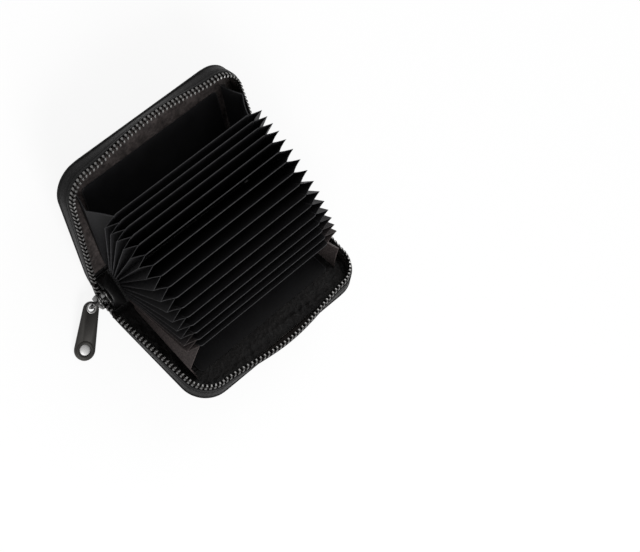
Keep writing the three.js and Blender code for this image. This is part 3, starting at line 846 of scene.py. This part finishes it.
def pleat_lines():
    """The gusset's fold lines, each a root and a top point, from the front cover to the rear one."""
    valley = LEAF_WIDTH / 2 + FOLD_GAP
    top_reach = LEAF_DEPTH - GUSSET_TOP_DROP
    face = INNER_FACE + 2 * FOLD_GAP
    fold_start = LEATHER / 2 + FOLD_GAP + GUSSET_DEPTH

    def leaf_line(number):
        return on_leaf(number, valley, GUSSET_ROOT_RISE), on_leaf(number, valley, top_reach)

    def peak_line(number):
        root = on_leaf(number, LEAF_WIDTH / 2 + GUSSET_ROOT_DEPTH, GUSSET_ROOT_RISE)
        return root, on_leaf(number, LEAF_WIDTH / 2 + GUSSET_DEPTH, top_reach)

    def cover_line(facing):
        root = on_cover(facing, valley + GUSSET_ROOT_DEPTH, fold_start, face)
        return root, on_cover(facing, valley + GUSSET_DEPTH / 2, top_reach, face)

    def side_line(facing, number):
        pairs = zip(cover_line(facing), leaf_line(number), (GUSSET_ROOT_DEPTH, GUSSET_DEPTH))
        return [Vector((valley + depth, *((a + b) / 2).yz)) for a, b, depth in pairs]

    lines = [cover_line(1), side_line(1, 0)]
    for number in range(LEAF_COUNT):
        lines.append(leaf_line(number))
        if number + 1 < LEAF_COUNT:
            lines.append(peak_line(number + 0.5))
    lines += [side_line(-1, LEAF_COUNT - 1), cover_line(-1)]
    return lines


def gusset(end, sign):
    """The pleated sheet that closes one end of the fan, slack between its folds."""
    lines = pleat_lines()
    facets = len(lines) - 1

    def place(u, v):
        number = min(int(u * facets), facets - 1)
        share = u * facets - number
        near, far = lines[number], lines[number + 1]
        point = near[0].lerp(near[1], v).lerp(far[0].lerp(far[1], v), share)
        slack = math.sin(math.pi * share)
        point.x -= PLEAT_SLACK * slack * v
        point.z -= PLEAT_SAG * slack * v * v
        point.x *= sign
        return point

    bm = mapped_grid(place, 4 * facets, 24, (facets, LEAF_DEPTH))
    raised(bm, bm.faces[:], (-sign * GUSSET_THICKNESS, 0, 0))
    folded = piece(f"{end}_pleats", bm, gusset_finish, "spine", [f"{end}_gusset"], 30)
    pairs = list(zip(lines, lines[1:]))
    flat_length = sum((a[1] - b[1]).length + (a[0] - b[0]).length for a, b in pairs) / 2
    flat_depth = sum((line[1] - line[0]).length for line in lines) / len(lines)
    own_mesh(folded)


def zip_tail(side, facing, end, sign):
    """The loose end of a zip row: the tape from the cover's edge to the spine, with its last teeth."""
    clear = ZIP_GAP / 2
    reach = ROW_START - FOLD_GAP
    bottom = LEATHER + FOLD_GAP
    high = on_cover(facing, 0, reach, CORD_HEIGHT)
    low = on_cover(facing, 0, reach, BOARD_FACE + LEATHER)
    slope = Vector((0, facing * math.sin(OPEN_ANGLE), math.cos(OPEN_ANGLE)))
    run = (abs(high.y) - clear) / math.sin(OPEN_ANGLE)
    foot = high - run * slope
    root = Vector((0, facing * clear, bottom))
    bend = Vector((0, facing * (HINGE_Y - LEATHER), bottom))

    def place(u, v):
        under = low.lerp(bend, u).lerp(bend.lerp(root, u), u)
        point = under.lerp(high.lerp(foot, u), v)
        slack = TAIL_SLACK * math.sin(math.pi * u) * math.sin(math.pi * v)
        point.x = sign * (CHAIN_X + slack - SIDE_FLARE * (1 - u) * (1 - v))
        return point

    bm = thickened(mapped_grid(place, 16, 10, (run, CORD_HEIGHT)), TAPE_THICKNESS, TAIL_RIM)
    up = Vector((0, -facing * math.cos(OPEN_ANGLE), math.sin(OPEN_ANGLE)))
    for i in range(math.floor(run / TOOTH_PITCH)):
        spot = high - (i + 0.5) * TOOTH_PITCH * slope + (TOOTH_BASE - CORD_HEIGHT) * up
        spot.x = sign * CHAIN_X
        add_to(bm, tooth_form(1), standing(spot, facing * slope, up))
    name = f"{side}_{end}_zip_tail"
    tail = piece(f"{side}_{end}_tail", bm, [tape_finish, tooth_metal], None, [name])
    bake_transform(tail)


def end_tongue(end, sign):
    """The puffed fold of leather that fills each end of the spine, sloping from the zip to the accordion."""
    face = CHAIN_X - CHANNEL / 2 - PLATE_THICKNESS - 3 * FOLD_GAP
    reach = face - LEAF_WIDTH / 2 - GUSSET_ROOT_DEPTH - 2 * FOLD_GAP
    half = HINGE_Y - INNER_FACE - 2 * FOLD_GAP
    bottom = LEATHER + BOARD + 2 * LAYER_GAP + FOLD_GAP
    high = SLIDER_Z + SLIDER_LENGTH - bottom
    low = GUSSET_ROOT_RISE + 2 * LAYER_GAP
    bm = bmesh.new()
    bmesh.ops.create_cube(bm, size=2)
    bmesh.ops.subdivide_edges(bm, edges=bm.edges[:], cuts=13, use_grid_fill=True)
    for vert in bm.verts:
        x, y, z = vert.co
        inward = (1 - x) / 2
        rise = (z + 1) / 2
        slope = math.cos(math.pi / 2 * inward) ** TONGUE_SLOPE
        crown = (low + (high - low) * slope) * (1 - TONGUE_ROUNDING * y**2)
        width = half * (1 - TONGUE_TAPER * (1 - inward) * rise)
        vert.co = (sign * (face - reach * inward), width * y, bottom + crown * rise)
    for _ in range(3):
        bmesh.ops.smooth_vert(
            bm, verts=bm.verts[:], factor=0.5, use_axis_x=True, use_axis_y=True, use_axis_z=True
        )
    bmesh.ops.recalc_face_normals(bm, faces=bm.faces[:])
    made = piece(f"{end}_puffed_tongue", bm, tongue_leather, "spine", [f"{end}_tongue"], 80)


def plate_outline():
    """A slider plate's outline: a narrow round end, wide shoulders and a notch between them."""
    half_top = SLIDER_TOP_WIDTH / 2
    half_end = SLIDER_END_WIDTH / 2
    round_end = half_end / 2
    shoulder = 0.6 * SLIDER_LENGTH
    side = [(half_end - round_end, 0)]
    for i in range(1, 5):
        t = i / 4
        side.append((half_end - round_end * (1 - t) ** 2, round_end * t * t))
    side.append((half_top, shoulder))
    for i in range(1, 6):
        t = i / 5
        side.append((half_top * (1 - 0.5 * t * t), shoulder + (SLIDER_LENGTH - shoulder) * (2 * t - t * t)))
    notch = [(0.25 * half_top, SLIDER_LENGTH - 0.4 * PLATE_THICKNESS)]
    right = side + notch
    return right + [(0, SLIDER_LENGTH - 0.5 * PLATE_THICKNESS)] + [(-x, z) for x, z in reversed(right)]


def slider():
    """Two shield-shaped plates with turned-in flanges, joined by a diamond in the throat."""
    upright = Matrix(((0, 0, 1, 0), (1, 0, 0, 0), (0, 1, 0, 0), (0, 0, 0, 1)))
    face = CHANNEL / 2
    bm = bmesh.new()
    for low in (face, -face - PLATE_THICKNESS):
        add_to(bm, slab(plate_outline(), low, PLATE_THICKNESS, PLATE_RIM, 3))
    half = ZIP_GAP / 2 - THROAT_CLEARANCE
    top = SLIDER_LENGTH - PLATE_THICKNESS
    shoulder = top - THROAT_SHOULDER
    diamond = [(0, top - THROAT_LENGTH), (half, shoulder), (half / 2, top)]
    diamond += [(-half / 2, top), (-half, shoulder)]
    depth = CHANNEL + PLATE_THICKNESS
    add_to(bm, slab(diamond, -depth / 2, depth, THROAT_RIM, 1))
    half_end = SLIDER_END_WIDTH / 2
    half_top = SLIDER_TOP_WIDTH / 2
    outline = [(half_end, FLANGE_LOW), (half_top, FLANGE_HIGH)]
    outline += [(half_top - FLANGE_WIDTH, FLANGE_HIGH), (half_end - FLANGE_WIDTH, FLANGE_LOW)]
    sunk = face - FLANGE_SINK
    for side in (1, -1):
        for low in (sunk, -sunk - FLANGE_DEPTH):
            add_to(bm, slab([(side * x, z) for x, z in outline], low, FLANGE_DEPTH, FLANGE_RIM, 1))
    for foot in (1, -1):
        lug = bmesh.new()
        bmesh.ops.create_cone(
            lug, cap_ends=True, segments=20, radius1=LUG_FOOT, radius2=LUG_HEAD, depth=LUG_HEIGHT
        )
        middle = SLIDER_LENGTH / 2 + foot * (SLIDER_LENGTH / 2 - 2 * BAIL_WIRE)
        spot = Matrix.Translation((0, middle, -face - PLATE_THICKNESS - LUG_RISE))
        add_to(bm, lug, spot @ Matrix.Rotation(math.pi, 4, "X"))
    bm.transform(Matrix.Translation((-CHAIN_X, 0, SLIDER_Z)) @ upright)
    piece("slider_plates", bm, slider_metal, "slider", ["slider_body"])


def bail():
    """The bent wire on the outer plate, which the tab's eye hangs on."""
    plate_x = -CHAIN_X - CHANNEL / 2 - PLATE_THICKNESS
    foot = SLIDER_LENGTH / 2 - 2 * BAIL_WIRE
    reach = plate_x - TAB_PLACE.x
    bend = reach / 2
    corners = [(0, -foot), (reach - bend, -foot), (reach, -foot), (reach, -foot + bend)]
    corners += [(reach, foot - bend), (reach, foot), (reach - bend, foot), (0, foot)]
    path = [Vector(corners[0])]
    for before, corner, after in (corners[1:4], corners[4:7]):
        for i in range(9):
            t = i / 8
            first = Vector(before).lerp(Vector(corner), t)
            path.append(first.lerp(Vector(corner).lerp(Vector(after), t), t))
    path.append(Vector(corners[7]))
    last = len(path) - 1

    def place(u, v):
        number = min(round(u * last), last)
        ahead = (path[min(number + 1, last)] - path[max(number - 1, 0)]).normalized()
        turn = 2 * math.pi * v
        spot = path[number] + BAIL_WIRE * math.cos(turn) * Vector((ahead.y, -ahead.x))
        return Vector((plate_x - spot.x, BAIL_WIRE * math.sin(turn), TAB_PLACE.z + spot.y))

    bm = capped(mapped_grid(place, last, 14))
    piece("bail_wire", bm, slider_metal, "slider", ["slider_bail"])


def ring(inner, outer, half, rim):
    """A flat ring about z, reaching half its height to each side, with rounded edges."""
    bm = bmesh.new()
    corners = [(inner, -half), (outer, -half), (outer, half), (inner, half)]
    verts = [bm.verts.new((x, 0, z)) for x, z in corners]
    edges = [bm.edges.new((verts[i - 1], verts[i])) for i in range(4)]
    bmesh.ops.spin(
        bm,
        geom=verts + edges,
        cent=(0, 0, 0),
        axis=(0, 0, 1),
        dvec=(0, 0, 0),
        angle=2 * math.pi,
        steps=40,
        use_merge=True,
    )
    bmesh.ops.remove_doubles(bm, verts=bm.verts[:], dist=WELD)
    bmesh.ops.recalc_face_normals(bm, faces=bm.faces[:])
    bevelled(bm, sharp_rims(bm), rim, 2)
    return bm


def tab_outline():
    """The tab's tapered outline, from its round shoulder at the eye to its rounder end."""
    shoulder_x = TAB_SHOULDER - EYE_RADIUS - EYE_RIM
    large = RIVET_RADIUS + TAB_END_RIM
    turn = math.acos((TAB_SHOULDER - large) / (TAB_LENGTH - shoulder_x))
    steps = 20
    points = []
    for i in range(steps + 1):
        a = turn + (2 * math.pi - 2 * turn) * i / steps
        points.append((shoulder_x + TAB_SHOULDER * math.cos(a), TAB_SHOULDER * math.sin(a)))
    for i in range(steps + 1):
        a = -turn + 2 * turn * i / steps
        points.append((TAB_LENGTH + large * math.cos(a), large * math.sin(a)))
    return points


def closed_loop(bm, points):
    """A loop of edges through points of the plane z = 0."""
    verts = [bm.verts.new((x, y, 0)) for x, y in points]
    return [bm.edges.new((verts[i - 1], verts[i])) for i in range(len(verts))]


def pull_tab():
    """A flat bar that widens from its eye to a round end, with an eyelet, a raised ring and a rivet."""
    turned = Matrix.Rotation(TAB_YAW, 4, "Z") @ Matrix.Rotation(TAB_DROOP, 4, "Y")
    place = Matrix.Translation(TAB_PLACE) @ turned
    round_end = place @ Matrix.Translation((TAB_LENGTH, 0, 0))
    half = TAB_THICKNESS / 2
    eye = EYE_RADIUS + EYELET_WIDTH
    bar = bmesh.new()
    edges = closed_loop(bar, tab_outline())
    edges += closed_loop(bar, round_loop(0, eye, eye, 32))
    edges += closed_loop(bar, round_loop(TAB_LENGTH, RIVET_RADIUS, RIVET_RADIUS, 32))
    bmesh.ops.triangle_fill(bar, use_beauty=True, use_dissolve=False, edges=edges, normal=(0, 0, 1))
    bmesh.ops.translate(bar, verts=bar.verts[:], vec=(0, 0, half))
    bmesh.ops.solidify(bar, geom=bar.faces[:], thickness=TAB_THICKNESS)
    bevelled(bar, sharp_rims(bar), TAB_RIM, 2)
    bar.transform(place)
    piece("tab_bar", bar, tab_metal, "pull_tab", ["pull_tab"])
    eyelet = ring(EYE_RADIUS, eye + EYELET_LAP, half + EYELET_LIFT, EYELET_RIM)
    eyelet.transform(place)
    piece("tab_eyelet_ring", eyelet, eyelet_metal, "pull_tab", ["pull_tab_eyelet"])
    radius = RIVET_RADIUS + RIVET_LAP
    height = half + RIVET_LIFT
    rivet = bmesh.new()
    bmesh.ops.create_uvsphere(rivet, u_segments=40, v_segments=20, radius=1)
    bmesh.ops.scale(rivet, verts=rivet.verts[:], vec=(radius, radius, height))
    for vert in rivet.verts:
        crown = abs(vert.co.z) ** RIVET_CROWN * height ** (1 - RIVET_CROWN)
        vert.co.z = math.copysign(crown, vert.co.z)
    rivet.transform(round_end)
    piece("tab_rivet_head", rivet, rivet_metal, "pull_tab", ["pull_tab_rivet"])
    boss = ring(radius, RIVET_RADIUS + BOSS_WIDTH, half + BOSS_LIFT, BOSS_RIM)
    boss.transform(round_end)
    piece("tab_boss", boss, tab_metal, "pull_tab", ())


# All the pieces, from the covers inward
for side, facing in (("front", 1), ("rear", -1)):
    outer_leather(side, facing)
    side_wall(side, facing)
    zip_tape(side, facing)
    zip_teeth(side, facing)
    cover_lining(side, facing)
    end_sheet(side, facing)
    for end, sign in (("left", -1), ("right", 1)):
        zip_tail(side, facing, end, sign)

for number in range(LEAF_COUNT):
    card_leaf(number)

for end, sign in (("left", -1), ("right", 1)):
    gusset(end, sign)
    end_tongue(end, sign)

slider()
bail()
pull_tab()

# The stiffening boards and the accordion's back keep their solids
kept_solids = {
    "front_board": board_finish,
    "rear_board": board_finish,
    "spine_board": tongue_leather,
    "accordion_back": tongue_leather,
}
for name, finish in kept_solids.items():
    nodes[name].data.materials.clear()
    nodes[name].data.materials.append(finish)


def seen_directly(start):
    """1 where the surroundings are looked at, straight or in a mirror, and 0 where they only give light."""
    seen = start.node("ShaderNodeLightPath", {}, {}, "Is Camera Ray")
    outputs = seen.socket.node.outputs
    for name in ("Is Glossy Ray", "Is Transmission Ray"):
        seen = seen.larger(Wire(start.tree, outputs[name]))
    return seen


def pale_floor():
    """A plain white sheet that takes the part's soft shadow."""
    bm = bmesh.new()
    bmesh.ops.create_grid(bm, x_segments=1, y_segments=1, size=FLOOR_SIZE)
    mesh = bpy.data.meshes.new("floor")
    bm.to_mesh(mesh)
    bm.free()
    floor = bpy.data.objects.new("floor", mesh)
    floor.location.z = -FLOOR_DROP
    bpy.context.scene.collection.objects.link(floor)
    paper_look = {"Base Color": (0.9, 0.9, 0.9, 1), "Roughness": 0.9, "Specular IOR Level": 0.1}
    finish = Finish("floor_paper", paper_look)
    seen = seen_directly(finish.start)
    white = {"Color": (1, 1, 1, 1), "Strength": 1.0}
    glow = finish.start.node("ShaderNodeEmission", {}, white, "Emission")
    paper = Wire(finish.tree, finish.shader.outputs[0])
    mixed = finish.start.node("ShaderNodeMixShader", {}, {0: seen * FLOOR_GLOW, 1: paper, 2: glow})
    finish.tree.links.new(mixed.socket, finish.tree.nodes["Material Output"].inputs["Surface"])
    mesh.materials.append(finish.material)


def soft_light(name, place, size, watts):
    """A square lamp turned towards the part."""
    lamp = bpy.data.lights.new(name, "AREA")
    lamp.shape = "SQUARE"
    lamp.size = size
    lamp.energy = watts
    made = bpy.data.objects.new(name, lamp)
    made.location = place
    made.rotation_euler = (Vector(LIGHT_TARGET) - Vector(place)).to_track_quat("-Z", "Y").to_euler()
    bpy.context.scene.collection.objects.link(made)


def studio():
    """A white room with a stronger lamp on the slider's side and a weaker one opposite."""
    scene = bpy.context.scene
    scene.view_settings.view_transform = "Standard"
    world = bpy.data.worlds.new("studio")
    world.use_nodes = True
    scene.world = world
    tree = world.node_tree
    start = Wire(tree)
    strength = WORLD_LIGHT + (1 - WORLD_LIGHT) * seen_directly(start)
    tree.links.new(strength.socket, tree.nodes["Background"].inputs["Strength"])
    tree.nodes["Background"].inputs["Color"].default_value = (1, 1, 1, 1)
    soft_light("key_light", (-0.5, -0.75, 0.8), 0.6, 11.0)
    soft_light("fill_light", (0.7, 0.5, 0.8), 0.8, 4.5)


def camera():
    """The main view: from above and beyond the slider's end, on a long lens."""
    data = bpy.data.cameras.new("camera")
    data.sensor_fit = "HORIZONTAL"
    data.sensor_width = SENSOR
    data.lens = LENS
    data.clip_start = 0.01
    right = Vector(VIEW_RIGHT).normalized()
    back = -Vector(VIEW_AHEAD).normalized()
    up = back.cross(right).normalized()
    right = up.cross(back)
    made = bpy.data.objects.new("camera", data)
    turned = Matrix((right, up, back)).transposed().to_4x4()
    turned.translation = Vector(VIEW_PLACE)
    made.matrix_world = turned
    bpy.context.scene.collection.objects.link(made)
    bpy.context.scene.camera = made


pale_floor()
studio()
camera()

bpy.context.view_layer.update()
